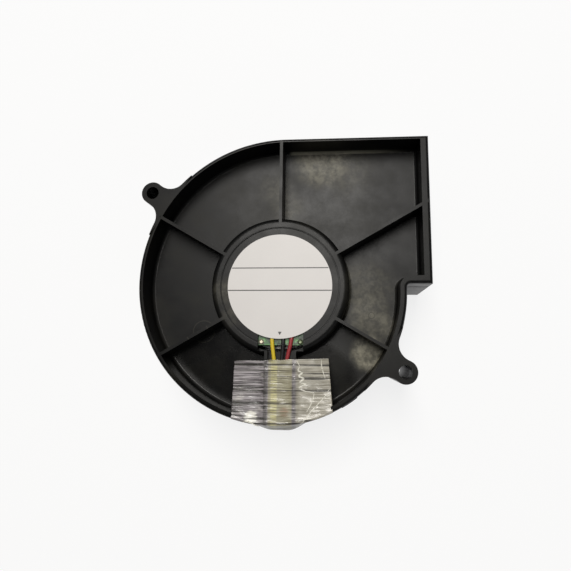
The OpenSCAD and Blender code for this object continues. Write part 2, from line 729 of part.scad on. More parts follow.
module stator_2d(grow = 0) {
    shoe_half = asin((slot_gap / 2 - grow) / pole_r);
    intersection() {
        difference() {
            circle(pole_r);
            circle(shoe_in - grow);
        }
        difference() {
            circle(far);
            for (a = [45:90:315]) rotate(a) translate([0, -pole_r * sin(shoe_half)]) square([far, 2 * pole_r * sin(shoe_half)]);
        }
    }
    for (a = [0, 90]) rotate(a) square([2 * shoe_in + 1, tooth_w + 2 * grow], center = true);
    circle(ring_out);
}

module stator_plate(h, grow = 0) {
    linear_extrude(h) difference() {
        stator_2d(grow);
        circle(stator_bore);
    }
}

module stator_core() {
    color([0.5, 0.5, 0.52]) translate([0, 0, stack_z]) stator_plate(stack_h);
}

// Insulating plate with a flange behind each pole shoe, growing to +Z
module bobbin() {
    flange_h = coil_t + 0.3;
    stator_plate(bobbin_t, 0.3);
    linear_extrude(bobbin_t + flange_h) intersection() {
        difference() {
            circle(shoe_in + 1);
            circle(shoe_in - 0.3);
        }
        for (a = [0, 90]) rotate(a) square([2 * pole_r, tooth_w + 2 * coil_t], center = true);
    }
}

module upper_bobbin() {
    color([0.85, 0.85, 0.8]) translate([0, 0, stack_top]) bobbin();
}

module lower_bobbin() {
    color([0.85, 0.85, 0.8]) translate([0, 0, stack_z]) mirror([0, 0, 1]) bobbin();
}

// Winding round one tooth, with rounded corners
module coil_ring(grow, corner) {
    w = tooth_w + 0.6 + 2 * grow;
    h = stack_h + 2 * bobbin_t + 2 * grow;
    square([w, h - 2 * corner], center = true);
    square([w - 2 * corner, h], center = true);
    for (x = [-1, 1], y = [-1, 1]) translate([x * (w / 2 - corner), y * (h / 2 - corner)]) circle(corner);
}

module coil(angle) {
    color([0.72, 0.42, 0.2]) rotate([0, 0, angle])
        translate([coil_start, 0, stack_z + stack_h / 2]) rotate([90, 0, 90])
            linear_extrude(coil_end - coil_start) difference() {
                coil_ring(coil_t, coil_t);
                square([tooth_w + 0.6 + 2 * fit, stack_h + 2 * bobbin_t + 2 * fit], center = true);
            }
}

// ---------------------------------------------------------------- bearings

module bearing_tube() {
    color([0.8, 0.66, 0.36]) difference() {
        translate([0, 0, tube_low]) cylinder(r = tube_r, h = tube_top - tube_low);
        translate([0, 0, tube_low - 1]) cylinder(r = tube_in, h = front_bearing_z + bearing_w - tube_low + 1);
        translate([0, 0, tube_low]) cylinder(r = tube_in - tube_shoulder, h = tube_top - tube_low);
        translate([0, 0, rear_bearing_z]) cylinder(r = tube_in, h = far);
    }
}

// A race is a ring with a ball groove turned into it
module race(r_in, r_out, z) {
    color([0.75, 0.75, 0.77]) translate([0, 0, z]) rotate_extrude() difference() {
        translate([r_in, 0]) square([r_out - r_in, bearing_w]);
        translate([ball_track, bearing_w / 2]) circle(groove_r, $fn = fine);
    }
}

module balls(z) {
    color([0.85, 0.85, 0.87]) translate([0, 0, z + bearing_w / 2]) {
        for (i = [0:ball_n - 1]) rotate([0, 0, 360 * i / ball_n])
            translate([ball_track, 0, 0]) sphere(ball_r, $fn = fine);
        translate([0, 0, ball_r + 0.05]) ring(ball_track - 0.15, ball_track + 0.15, 0.4);
    }
}

module spring_coil(turns, r, wire, h) {
    steps = 18;
    tube([for (i = [0:turns * steps]) let (a = 360 * i / steps)
        [r * cos(a), r * sin(a), wire + (h - 2 * wire) * i / (turns * steps)]], wire, 6);
}

module preload_spring() {
    color([0.7, 0.7, 0.72]) translate([0, 0, boss_top]) spring_coil(2, shaft_r + 0.55, 0.25, front_bearing_z - boss_top);
}

module retaining_clip() {
    color([0.3, 0.3, 0.32]) translate([0, 0, clip_z]) difference() {
        cylinder(r = shaft_r + 1, h = clip_t);
        translate([0, 0, -eps]) cylinder(r = shaft_r - 0.3 + fit, h = clip_t + 2 * eps);
        translate([0, -0.5, -eps]) cube([far, 1, clip_t + 2 * eps]);
    }
}

// ---------------------------------------------------------------- rotor

module shaft() {
    color([0.8, 0.8, 0.82]) difference() {
        translate([0, 0, boss_bottom + 0.5]) cylinder(r = shaft_r, h = shaft_top - boss_bottom - 0.5);
        translate([0, 0, clip_z - 0.03]) ring(shaft_r - 0.3, shaft_r + 1, clip_t + 0.06);
    }
}

module rotor_boss() {
    color([0.8, 0.68, 0.4]) difference() {
        union() {
            translate([0, 0, boss_bottom]) cylinder(r = boss_r, h = boss_top - boss_bottom);
            translate([0, 0, yoke_z + yoke_t]) cylinder(r = boss_flange_r, h = boss_flange_t);
        }
        translate([0, 0, boss_bottom - eps]) cylinder(r = bore_r, h = boss_top - boss_bottom + 2 * eps);
    }
}

module rotor_yoke() {
    color([0.6, 0.6, 0.62]) difference() {
        translate([0, 0, yoke_z]) rotate_extrude() difference() {
            square([yoke_r, yoke_top - yoke_z]);
            translate([yoke_r, 0]) mirror([0, 1]) edge_waste_2d(0.8);
        }
        translate([0, 0, yoke_z + yoke_t]) cylinder(r = yoke_r - yoke_t, h = far);
        translate([0, 0, yoke_z - 1]) cylinder(r = boss_r + fit, h = yoke_t + 2);
    }
}

module magnet_ring() {
    color([0.22, 0.22, 0.23]) translate([0, 0, magnet_z]) ring(magnet_r - magnet_t, magnet_r, magnet_h);
}

// A forward-curved blade leaves the eye radially and leans into the rotation
module blade_2d() {
    intersection() {
        translate([blade_in, -blade_curve]) difference() {
            circle(blade_curve, $fn = fine);
            circle(blade_curve - blade_t, $fn = fine);
        }
        translate([blade_in, -blade_curve]) square([blade_out, blade_curve + 1]);
        circle(blade_out - 0.15);
    }
}

module hub_cup() {
    rotate_extrude() difference() {
        translate([0, face_z]) square([cup_r, disc_top - face_z]);
        translate([cup_r, face_z]) mirror([0, 1]) edge_waste_2d(2.2);
        translate([-1, yoke_z]) square([cup_in + 1, far]);
        translate([cup_in - 1, yoke_z]) square([1, far]);
    }
}

module impeller() {
    color([0.09, 0.09, 0.09]) difference() {
        union() {
            hub_cup();
            translate([0, 0, disc_top - disc_t]) ring(cup_in + cup_wall / 2, blade_out, disc_t);
            translate([0, 0, blade_z]) ring(blade_out - band_w, blade_out, band_h);
            for (i = [0:blade_n - 1]) rotate([0, 0, 360 * i / blade_n])
                translate([0, 0, blade_low]) linear_extrude(disc_top - disc_t / 2 - blade_low) blade_2d();
        }
        translate([0, 0, boss_bottom]) cylinder(r = boss_r + fit, h = far);
        // balancing groove in the face
        translate([0, 0, face_z - eps]) ring(cup_r * 0.62, cup_r * 0.72, 0.5);
    }
}

// ---------------------------------------------------------------- leads, connector

module yellow_lead() {
    color([0.85, 0.72, 0.1]) tube(yellow_route, lead_r, 8);
}

module black_lead() {
    color([0.06, 0.06, 0.06]) tube(black_route, lead_r, 8);
}

module red_lead() {
    color([0.7, 0.12, 0.12]) tube(red_route, lead_r, 8);
}

module connector_housing() {
    color([0.92, 0.91, 0.88]) difference() {
        union() {
            translate([plug_x, plug_y - plug_w / 2, 0]) cube([plug_l, plug_w, plug_h]);
            for (s = [-1, 1]) translate([plug_x + 2, plug_y + s * plug_w / 4 - 0.5, plug_h - eps])
                cube([plug_l - 4, 1, 0.5]);
        }
        for (y = contact_ys) {
            translate([plug_x - 1, y, contact_z]) rotate([0, 90, 0]) cylinder(r = plug_bore_r, h = plug_l / 2);
            translate([contact_x, y - 0.95, contact_z - 0.95]) cube([plug_l, 1.9, 1.9]);
        }
    }
}

module connector_contacts() {
    color([0.85, 0.8, 0.6]) for (y = contact_ys) translate([contact_x, y - 0.8, contact_z - 0.93])
        difference() {
            cube([plug_l - 4.4, 1.6, 1.6]);
            translate([2, 0.3, 0.3]) cube([plug_l, 1, 1]);
        }
}

base_frame();
front_cover();
label();
tape();
circuit_board();
driver_chip();
hall_sensor();
board_components();
solder_joints();
coil_pins();
stator_core();
upper_bobbin();
lower_bobbin();
coil(0);  // coil_1
coil(90);  // coil_2
coil(180);  // coil_3
coil(270);  // coil_4
bearing_tube();
race(race_out_r, bearing_r, rear_bearing_z);  // rear_bearing_outer_race
race(bore_r, race_in_r, rear_bearing_z);  // rear_bearing_inner_race
balls(rear_bearing_z);  // rear_bearing_balls
race(race_out_r, bearing_r, front_bearing_z);  // front_bearing_outer_race
race(bore_r, race_in_r, front_bearing_z);  // front_bearing_inner_race
balls(front_bearing_z);  // front_bearing_balls
preload_spring();
retaining_clip();
shaft();
rotor_boss();
rotor_yoke();
magnet_ring();
impeller();
yellow_lead();
black_lead();
red_lead();
connector_housing();
connector_contacts();
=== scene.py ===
"""Looks of the centrifugal blower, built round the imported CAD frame.

Lengths in this file are millimetres in the row frame unless a name says metres:
the rotor's axis is Z, the inlet face lies on Z = 0 and the outlet faces +X.
"""

import json
import math

import bpy
from mathutils import Matrix, Vector, noise


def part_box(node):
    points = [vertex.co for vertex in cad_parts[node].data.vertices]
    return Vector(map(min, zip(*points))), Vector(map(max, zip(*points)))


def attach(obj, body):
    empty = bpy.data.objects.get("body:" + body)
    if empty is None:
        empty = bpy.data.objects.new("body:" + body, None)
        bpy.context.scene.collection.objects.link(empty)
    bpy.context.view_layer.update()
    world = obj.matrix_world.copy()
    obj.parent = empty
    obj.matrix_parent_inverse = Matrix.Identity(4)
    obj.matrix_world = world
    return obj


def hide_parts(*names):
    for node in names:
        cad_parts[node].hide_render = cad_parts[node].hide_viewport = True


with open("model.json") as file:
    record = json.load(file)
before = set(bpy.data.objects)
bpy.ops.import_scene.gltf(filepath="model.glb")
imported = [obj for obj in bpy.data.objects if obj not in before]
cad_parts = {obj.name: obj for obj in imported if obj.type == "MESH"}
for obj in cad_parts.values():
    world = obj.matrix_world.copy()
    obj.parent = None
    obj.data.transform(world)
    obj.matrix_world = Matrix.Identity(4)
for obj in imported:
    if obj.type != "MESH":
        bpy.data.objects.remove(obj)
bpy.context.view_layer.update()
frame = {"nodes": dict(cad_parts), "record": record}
NODES = frame["nodes"]
MM = 0.001
UP = Vector((0, 0, 1))

# ---------------------------------------------------------------- sizes from the frame


def box_mm(node):
    low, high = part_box(node)
    return low / MM, high / MM


TAPE_LOW, TAPE_HIGH = box_mm("tape")
LABEL_HIGH = box_mm("label")[1]
LABEL_R = LABEL_HIGH.x
BACK_Z = box_mm("base_frame")[1].z

# ---------------------------------------------------------------- camera

# Turns about X, Y and Z in degrees, and where the target lies as the eye sees it.
EYE_TILT = (-8.977, 4.754, -0.223)
EYE_TARGET = Vector((0, 0, 33))
EYE_OFFSET = Vector((-5.597, 3.665, 160.869))
LENS = 31.03
SENSOR = 36
LENS_SHIFT = -0.0194
NEAR, FAR = 5, 20000


def make_camera():
    """The camera looks down on the motor side, a little from below and from the right."""
    rx, ry, rz = (math.radians(a) for a in EYE_TILT)
    turn = Matrix.Rotation(rz, 3, "Z") @ Matrix.Rotation(ry, 3, "Y") @ Matrix.Rotation(rx, 3, "X")
    to_eye = turn @ Matrix.Diagonal((1, -1, -1))
    place = EYE_TARGET - to_eye.transposed() @ EYE_OFFSET
    axes = to_eye.transposed() @ Matrix.Diagonal((1, -1, -1))
    data = bpy.data.cameras.new("camera")
    data.lens = LENS
    data.sensor_width = SENSOR
    data.shift_x = data.shift_y = LENS_SHIFT
    data.clip_start = NEAR * MM
    data.clip_end = FAR * MM
    camera = bpy.data.objects.new("camera", data)
    camera.matrix_world = Matrix.Translation(place * MM) @ axes.to_4x4()
    bpy.context.scene.collection.objects.link(camera)
    bpy.context.scene.camera = camera


# ---------------------------------------------------------------- node helpers


class Look:
    """A material with a Principled shader, and short calls for the nodes that feed it."""

    def __init__(self, name, color, roughness=0.5, metallic=0.0, ior=1.5):
        self.material = bpy.data.materials.new(name)
        self.material.use_nodes = True
        self.tree = self.material.node_tree
        self.shader = self.tree.nodes["Principled BSDF"]
        self.set("Base Color", (*color, 1))
        self.set("Roughness", roughness)
        self.set("Metallic", metallic)
        self.set("IOR", ior)
        self.at = self.node("ShaderNodeTexCoord").outputs["Object"]

    def node(self, kind, **values):
        made = self.tree.nodes.new(kind)
        for key, value in values.items():
            setattr(made, key, value)
        return made

    def link(self, source, socket):
        if isinstance(source, (int, float)):
            socket.default_value = source
        elif isinstance(source, tuple):
            socket.default_value = (*source, 1) if len(source) == 3 and socket.type == "RGBA" else source
        else:
            self.tree.links.new(source, socket)

    def set(self, name, source):
        self.link(source, self.shader.inputs[name])

    def stretch(self, x, y, z):
        made = self.node("ShaderNodeMapping")
        self.link(self.at, made.inputs["Vector"])
        made.inputs["Scale"].default_value = (x, y, z)
        return made.outputs["Vector"]

    def noise(self, per_mm, detail=3.0, rough=0.5, at=None):
        made = self.node("ShaderNodeTexNoise")
        self.link(at or self.at, made.inputs["Vector"])
        made.inputs["Scale"].default_value = per_mm / MM
        made.inputs["Detail"].default_value = detail
        made.inputs["Roughness"].default_value = rough
        return made.outputs["Fac"]

    def cells(self, per_mm):
        made = self.node("ShaderNodeTexVoronoi", feature="F1")
        self.link(self.at, made.inputs["Vector"])
        made.inputs["Scale"].default_value = per_mm / MM
        return made.outputs["Distance"]

    def span(self, value, low, high, to_low=0.0, to_high=1.0):
        """Eases from to_low to to_high while value goes from low to high."""
        made = self.node("ShaderNodeMapRange", interpolation_type="SMOOTHSTEP")
        self.link(value, made.inputs["Value"])
        made.inputs["From Min"].default_value = low
        made.inputs["From Max"].default_value = high
        made.inputs["To Min"].default_value = to_low
        made.inputs["To Max"].default_value = to_high
        return made.outputs["Result"]

    def math(self, operation, a, b=0.0):
        made = self.node("ShaderNodeMath", operation=operation)
        self.link(a, made.inputs[0])
        self.link(b, made.inputs[1])
        return made.outputs["Value"]

    def times(self, *values):
        product = values[0]
        for value in values[1:]:
            product = self.math("MULTIPLY", product, value)
        return product

    def total(self, *values):
        so_far = values[0]
        for value in values[1:]:
            so_far = self.math("ADD", so_far, value)
        return so_far

    def mix(self, share, a, b):
        made = self.node("ShaderNodeMix", data_type="RGBA")
        self.link(share, made.inputs["Factor"])
        self.link(a, made.inputs[6])
        self.link(b, made.inputs[7])
        return made.outputs[2]

    def patch(self, centre, radius, soft):
        """1 within radius of a point of the row frame, falling to 0 over soft."""
        made = self.node("ShaderNodeVectorMath", operation="DISTANCE")
        self.link(self.at, made.inputs[0])
        made.inputs[1].default_value = Vector(centre) * MM
        return self.span(made.outputs["Value"], (radius + soft) * MM, radius * MM)

    def axis(self, name):
        made = self.node("ShaderNodeSeparateXYZ")
        self.link(self.at, made.inputs[0])
        return made.outputs[name]

    def facing_up(self):
        """Z of the surface's normal: 1 on level surfaces, where dust settles and painted sheen lies."""
        made = self.node("ShaderNodeSeparateXYZ")
        self.link(self.node("ShaderNodeTexCoord").outputs["Normal"], made.inputs[0])
        return made.outputs["Z"]

    def band(self, value, centre, half, soft):
        """1 where a length in metres is within half of centre (both in mm), falling to 0 over soft."""
        away = self.math("ABSOLUTE", self.math("SUBTRACT", value, centre * MM))
        return self.span(away, (half + soft) * MM, half * MM)

    def ring(self, centre, radius, half, soft):
        """1 along a circle about an upright line through centre."""
        flat = self.node("ShaderNodeVectorMath", operation="MULTIPLY")
        self.link(self.at, flat.inputs[0])
        flat.inputs[1].default_value = (1, 1, 0)
        made = self.node("ShaderNodeVectorMath", operation="DISTANCE")
        self.link(flat.outputs[0], made.inputs[0])
        made.inputs[1].default_value = Vector((*centre, 0)) * MM
        return self.band(made.outputs["Value"], radius, half, soft)

    def bump(self, height, depth, strength=1.0):
        made = self.node("ShaderNodeBump")
        self.link(height, made.inputs["Height"])
        made.inputs["Distance"].default_value = depth * MM
        made.inputs["Strength"].default_value = strength
        self.set("Normal", made.outputs["Normal"])


# ---------------------------------------------------------------- materials


# A pale colour for dust, and for painted sheen and highlights.
DUST_AND_SHEEN = (0.3, 0.282, 0.215)
SHADOW = (0.001, 0.001, 0.001)
FLOOR_Z = 23.6

# Level ground with settled dust and painted sheen: centre, radius, soft edge, amount.
DUST_AND_SHEEN_PATCHES = [
    ((13, 46, FLOOR_Z), 4, 8, 0.36),
    ((22, 42, FLOOR_Z), 1, 12, 0.12),
    ((1.6, 29, FLOOR_Z), 1, 7, 0.14),
    ((-3, 36, FLOOR_Z), 1, 7, 0.12),
    ((28, 0, FLOOR_Z), 3, 11, 0.16),
    ((29, -10, FLOOR_Z), 2, 8, 0.2),
    ((35, -12.5, FLOOR_Z), 1, 5, 0.16),
    ((29, -21.5, FLOOR_Z), 3, 4.2, 0.62),
    ((-17.9, -1.6, BACK_Z), 0.6, 5, 0.2),
    ((-15, -9, BACK_Z), 0.6, 5, 0.14),
]

# Rings left by the mould: centre, radius, half width, depth (below 0 for a groove).
MOULD_RINGS = [
    ((0, 0), 19.55, 0.16, -1.0),
    ((30.35, -9.04), 1.0, 0.1, -0.5),
    ((-27.2, -14.7), 3.7, 0.08, 0.1),
]

# Glossier ground on the pocket floors: centre, radius, soft edge.
SLEEK_PATCHES = [
    ((-20, -29, FLOOR_Z), 13, 8),
    ((12, -31, FLOOR_Z), 10, 7),
]

# A painted highlight line at the foot of the top wall, along X.
FOOT_HIGHLIGHT_Y = 49.3
FOOT_HIGHLIGHT_START = 1.5
FOOT_HIGHLIGHT_END = 47
FOOT_HIGHLIGHT_FADE = 24


def moulded_plastic(name, tone, warm, gloss, ior=1.5):
    """Glass-filled plastic as it leaves the mould: its look, colour, roughness and grain."""
    look = Look(name, (tone, tone, tone), ior=ior)
    grain = look.noise(2.6, 4, 0.6)
    flow = look.noise(0.035, 3, 0.55, look.stretch(1, 1.6, 1))
    cloud = look.noise(0.11, 4, 0.6)
    bloom = look.span(look.times(flow, cloud), 0.16, 0.42)
    color = look.mix(bloom, (tone, tone, tone * 1.04), (tone * 2.1, tone * 2.0, tone * warm))
    speck = look.span(look.noise(0.8, 2, 0.4), 0.68, 0.78)
    color = look.mix(look.times(speck, 0.4), color, (tone * 3, tone * 2.9, tone * 2.6))
    rough = look.span(look.total(cloud, look.times(grain, 0.3)), 0.3, 0.9, gloss, gloss + 0.14)
    return look, color, rough, grain


def finish_plastic(look, color, rough, height):
    look.set("Base Color", color)
    look.set("Roughness", rough)
    look.bump(height, 0.02, 0.5)
    return look.material


def black_plastic(name, tone, warm, gloss):
    return finish_plastic(*moulded_plastic(name, tone, warm, gloss))


def painted_foot_highlight(look, color):
    """A painted highlight: a pale line at the foot of the top wall that thins out towards the outlet."""
    line = look.band(look.axis("Y"), FOOT_HIGHLIGHT_Y, 0.3, 0.55)
    begun = look.span(look.axis("X"), FOOT_HIGHLIGHT_START * MM, (FOOT_HIGHLIGHT_START + 2) * MM)
    fading = look.span(look.axis("X"), FOOT_HIGHLIGHT_END * MM, (FOOT_HIGHLIGHT_END - FOOT_HIGHLIGHT_FADE) * MM)
    low = look.span(look.axis("Z"), (FLOOR_Z + 1.2) * MM, (FLOOR_Z + 0.4) * MM)
    return look.mix(look.times(line, begun, fading, low, 0.75), color, DUST_AND_SHEEN)


def dust_and_painted_sheen(look, color):
    # Pale patches of dust with painted sheen on the level ground of the pockets and the hub.
    places = [look.times(look.patch(at, radius, soft), amount) for at, radius, soft, amount in DUST_AND_SHEEN_PATCHES]
    blotch = look.span(look.noise(0.45, 4, 0.62), 0.32, 0.72, 0.4, 1.45)
    level = look.span(look.facing_up(), 0.3, 0.8)
    return look.mix(look.times(look.total(*places), blotch, level), color, DUST_AND_SHEEN)


def mould_rings(look, color, height):
    for centre, radius, half, depth in MOULD_RINGS:
        line = look.ring(centre, radius, half, 0.12)
        color = look.mix(look.times(line, 0.7 * abs(depth)), color, SHADOW if depth < 0 else DUST_AND_SHEEN)
        height = look.total(height, look.times(line, 3 * depth))
    return color, height


def uneven_gloss(look, rough):
    """Sleek ground on the pocket floors, and duller fillets at the foot of their walls."""
    sleek = look.total(*[look.patch(*patch) for patch in SLEEK_PATCHES])
    fillet = look.band(look.axis("Z"), FLOOR_Z + 0.7, 0.66, 0.03)
    rough = look.times(rough, look.span(look.math("SUBTRACT", sleek, fillet), 0, 1, 1, 0.5))
    return look.times(rough, look.span(fillet, 0, 1, 1, 1.7))


def frame_plastic():
    """The motor side's moulding, with the dust and wear of long use, and painted sheen and highlights on
    its floors.
    """
    look, color, rough, height = moulded_plastic("frame_plastic", 0.004, 1.55, 0.3, 1.28)
    color = dust_and_painted_sheen(look, painted_foot_highlight(look, color))
    color, height = mould_rings(look, color, height)
    return finish_plastic(look, color, uneven_gloss(look, rough), height)


def steel(name, color, roughness, brushed=0.0):
    look = Look(name, color, roughness, 1.0)
    lines = look.noise(1.2, 3, 0.6, look.stretch(1, 1, 12 if brushed else 1))
    look.set("Roughness", look.span(lines, 0.3, 0.7, roughness * 0.8, roughness * 1.25))
    look.set("Base Color", look.mix(look.noise(0.2, 3), color, tuple(c * 0.86 for c in color)))
    look.bump(lines, 0.004 + 0.006 * brushed, 0.5)
    return look.material


def plastic(name, color, roughness=0.4, sss=0.0):
    look = Look(name, color, roughness)
    tone = look.noise(0.25, 3)
    look.set("Base Color", look.mix(tone, color, tuple(c * 0.88 for c in color)))
    look.set("Roughness", look.span(look.noise(1.1, 3), 0.3, 0.7, roughness - 0.06, roughness + 0.08))
    look.set("Subsurface Weight", sss)
    look.shader.inputs["Subsurface Radius"].default_value = (0.6 * MM, 0.5 * MM, 0.4 * MM)
    look.bump(look.noise(2.2, 3), 0.01, 0.4)
    return look.material


def label_film():
    look = Look("label_film", (0.74, 0.715, 0.695), 0.46)
    fibre = look.noise(1.5, 4, 0.65)
    cloud = look.noise(0.09, 3)
    base = look.mix(cloud, (0.73, 0.705, 0.685), (0.66, 0.635, 0.62))
    look.set("Base Color", look.mix(look.times(fibre, 0.22), base, (0.58, 0.56, 0.55)))
    look.bump(fibre, 0.006, 0.35)
    return look.material


def ink():
    look = Look("label_ink", (0.035, 0.033, 0.035), 0.42)
    worn = look.span(look.noise(1.8, 3, 0.6), 0.5, 0.75)
    look.set("Base Color", look.mix(look.times(worn, 0.5), (0.03, 0.028, 0.03), (0.16, 0.15, 0.15)))
    return look.material


def board_green():
    """Solder mask over copper: paler where copper runs under it, dark where parts shade it."""
    look = Look("board", (0.05, 0.2, 0.06), 0.36)
    copper = look.span(look.cells(0.4), 0.34, 0.42)
    weave = look.noise(1.6, 3, 0.7)
    mask = look.mix(copper, (0.11, 0.3, 0.09), (0.02, 0.09, 0.025))
    mask = look.mix(look.times(weave, 0.35), mask, (0.3, 0.46, 0.24))
    dark = look.span(look.noise(0.55, 3, 0.6), 0.5, 0.6)
    # A painted highlight along the board's lower edge.
    edge = look.span(look.axis("Y"), -18.9 * MM, -19.1 * MM)
    mask = look.mix(look.times(edge, 0.6), mask, (0.16, 0.42, 0.12))
    look.set("Base Color", look.mix(look.times(dark, 0.92), mask, (0.006, 0.012, 0.006)))
    look.bump(look.total(copper, look.times(weave, 0.2)), 0.03, 0.5)
    return look.material


def solder():
    look = Look("solder", (0.62, 0.58, 0.48), 0.34, 0.55)
    flux = look.noise(0.9, 3)
    bare = look.mix(flux, (0.72, 0.67, 0.55), (0.42, 0.36, 0.24))
    coated = look.span(look.axis("X"), 4 * MM, 5 * MM)
    look.set("Base Color", look.mix(look.times(coated, 0.9), bare, (0.1, 0.14, 0.07)))
    look.set("Roughness", look.span(flux, 0.3, 0.7, 0.24, 0.46))
    look.bump(look.noise(1.4, 3), 0.05, 0.5)
    return look.material


def copper_wire():
    look = Look("copper", (0.75, 0.36, 0.16), 0.3, 0.9)
    made = look.node("ShaderNodeTexWave", wave_type="BANDS", bands_direction="DIAGONAL")
    look.link(look.at, made.inputs["Vector"])
    made.inputs["Scale"].default_value = 0.55 / MM
    made.inputs["Distortion"].default_value = 0.3
    turns = made.outputs["Fac"]
    look.set("Base Color", look.mix(turns, (0.3, 0.1, 0.035), (0.8, 0.4, 0.18)))
    look.bump(turns, 0.12, 0.8)
    return look.material


def insulation(name, color, worn):
    look = Look(name, color, 0.36)
    tone = look.noise(0.4, 3)
    look.set("Base Color", look.mix(tone, color, worn))
    look.set("Roughness", look.span(look.noise(1.5, 2), 0.3, 0.7, 0.3, 0.44))
    look.bump(look.noise(1.2, 3), 0.02, 0.4)
    return look.material


def tape_film():
    """Clear film over glass strands that run along X, so the look changes fast along Y only.

    It is cream over the leads, lilac grey left of them and beige right of them, with painted
    shadow lines along the walls of the channel and a painted glare near its lower left corner.
    """
    look = Look("strapping_tape", (0.5, 0.47, 0.4), 0.32)
    x = look.axis("X")
    strands = look.noise(1.0, 2, 0.6, look.stretch(0.02, 1, 0.3))
    threads = look.noise(3.0, 3, 0.65, look.stretch(0.03, 1, 0.3))
    cloud = look.noise(0.3, 3, 0.6, look.stretch(0.7, 1, 1))
    thread = look.span(threads, 0.36, 0.62)
    centre = look.band(x, 0.6, 3.5, 0.6)
    right = look.span(x, 5.0 * MM, 6.4 * MM)
    left = look.span(x, -4.0 * MM, -5.0 * MM)
    gap = look.span(look.total(strands, look.times(left, -0.04)), 0.43, 0.37)
    pale = look.mix(right, (0.43, 0.395, 0.41), (0.48, 0.45, 0.375))
    pale = look.mix(centre, pale, (0.44, 0.41, 0.29))
    pale = look.mix(look.times(look.band(x, -1.35, 0.75, 0.5), 0.9), pale, (0.72, 0.67, 0.33))
    pale = look.mix(look.times(look.patch((2, -40.2, 33), 0.7, 1.5), 0.6), pale, (0.36, 0.16, 0.1))
    dull = look.mix(right, (0.07, 0.062, 0.064), (0.27, 0.25, 0.2))
    dull = look.mix(centre, dull, (0.2, 0.18, 0.11))
    body = look.mix(thread, dull, pale)
    body = look.mix(look.times(look.span(cloud, 0.5, 0.72), 0.5), body, (0.62, 0.6, 0.54))
    # A painted glare highlight near the lower left corner of the film.
    painted_glare = look.times(look.patch((-8.6, -41.9, 33), 0.2, 3.4), look.span(threads, 0.3, 0.6, 0.35, 1.3))
    body = look.mix(look.span(painted_glare, 0.3, 0.6), body, (0.92, 0.9, 0.82))
    broken = look.span(threads, 0.3, 0.7, 1.0, 0.45)
    # Painted shadow lines along the walls of the channel, broken up by the threads.
    left_wall_shadow = look.band(x, -4.1, 0.25, 0.6)
    right_wall_shadow = look.times(look.band(x, 5.0, 0.2, 0.7), 0.5)
    shade = look.math("MAXIMUM", gap, look.times(look.math("MAXIMUM", left_wall_shadow, right_wall_shadow), broken))
    rim = look.span(look.axis("Z"), 32.3 * MM, 31.2 * MM)
    body = look.mix(look.times(rim, 0.6), body, (0.13, 0.12, 0.07))
    look.set("Base Color", look.mix(look.times(shade, 0.85), body, (0.028, 0.025, 0.02)))
    look.set("Alpha", look.span(shade, 0.0, 1.0, 0.96, 0.82))
    look.set("Coat Weight", 0.5)
    look.set("Coat Roughness", 0.14)
    look.bump(look.math("SUBTRACT", thread, gap), 0.05, 0.6)
    return look.material


def crease_white_and_highlight():
    # Painted highlights along the folds, where the film has also turned white.
    look = Look("tape_crease", (0.82, 0.8, 0.7), 0.35)
    look.set("Base Color", look.mix(look.noise(1.2, 3), (0.9, 0.88, 0.78), (0.62, 0.6, 0.52)))
    look.set("Alpha", look.span(look.noise(1.6, 3, 0.6), 0.3, 0.5, 0.35, 0.95))
    return look.material


def magnet_black():
    look = Look("bonded_ferrite", (0.05, 0.05, 0.052), 0.55)
    look.set("Base Color", look.mix(look.noise(2.0, 3), (0.04, 0.04, 0.042), (0.075, 0.07, 0.068)))
    look.bump(look.noise(3.0, 3), 0.02, 0.5)
    return look.material


MATERIALS = {
    "frame_plastic": frame_plastic(),
    "cover_plastic": black_plastic("cover_plastic", 0.008, 1.7, 0.38),
    "impeller_plastic": black_plastic("impeller_plastic", 0.008, 1.9, 0.3),
    "label_film": label_film(),
    "board": board_green(),
    "chip": plastic("chip", (0.02, 0.02, 0.021), 0.5),
    "ceramic": plastic("ceramic", (0.42, 0.34, 0.22), 0.35),
    "solder": solder(),
    "silicon_steel": steel("silicon_steel", (0.42, 0.43, 0.45), 0.38, 1),
    "white_nylon": plastic("white_nylon", (0.78, 0.76, 0.7), 0.42, 0.1),
    "copper": copper_wire(),
    "brass": steel("brass", (0.78, 0.58, 0.28), 0.28, 1),
    "bearing_steel": steel("bearing_steel", (0.72, 0.72, 0.74), 0.14),
    "spring_steel": steel("spring_steel", (0.5, 0.5, 0.51), 0.28),
    "plated_steel": steel("plated_steel", (0.16, 0.16, 0.155), 0.5, 1),
    "bonded_ferrite": magnet_black(),
    "yellow_insulation": insulation("yellow_insulation", (0.74, 0.55, 0.018), (0.6, 0.46, 0.05)),
    "black_insulation": insulation("black_insulation", (0.008, 0.008, 0.009), (0.02, 0.02, 0.022)),
    "red_insulation": insulation("red_insulation", (0.3, 0.022, 0.028), (0.34, 0.05, 0.055)),
    "connector_nylon": plastic("connector_nylon", (0.8, 0.78, 0.72), 0.4, 0.1),
    "tinned_contact": steel("tinned_contact", (0.68, 0.66, 0.6), 0.25),
    "strapping_tape": tape_film(),
    "tape_crease": crease_white_and_highlight(),
    "label_ink": ink(),
}


def dress_nodes():
    """Each CAD node takes the material of its own slot in the record."""
    for part in frame["record"]["subparts"]:
        mesh = NODES[part["node"]].data
        mesh.materials.clear()
        mesh.materials.append(MATERIALS[part["material_slot"]])


# ---------------------------------------------------------------- mesh helpers


def new_piece(name, mesh, material):
    piece = bpy.data.objects.new(name, mesh)
    bpy.context.scene.collection.objects.link(piece)
    piece.data.materials.append(MATERIALS[material])
    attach(piece, "housing")
    return piece


def mesh_from(name, points_mm, faces, smooth=True):
    mesh = bpy.data.meshes.new(name)
    mesh.from_pydata([Vector(p) * MM for p in points_mm], [], faces)
    mesh.validate()
    for polygon in mesh.polygons:
        polygon.use_smooth = smooth
    return mesh


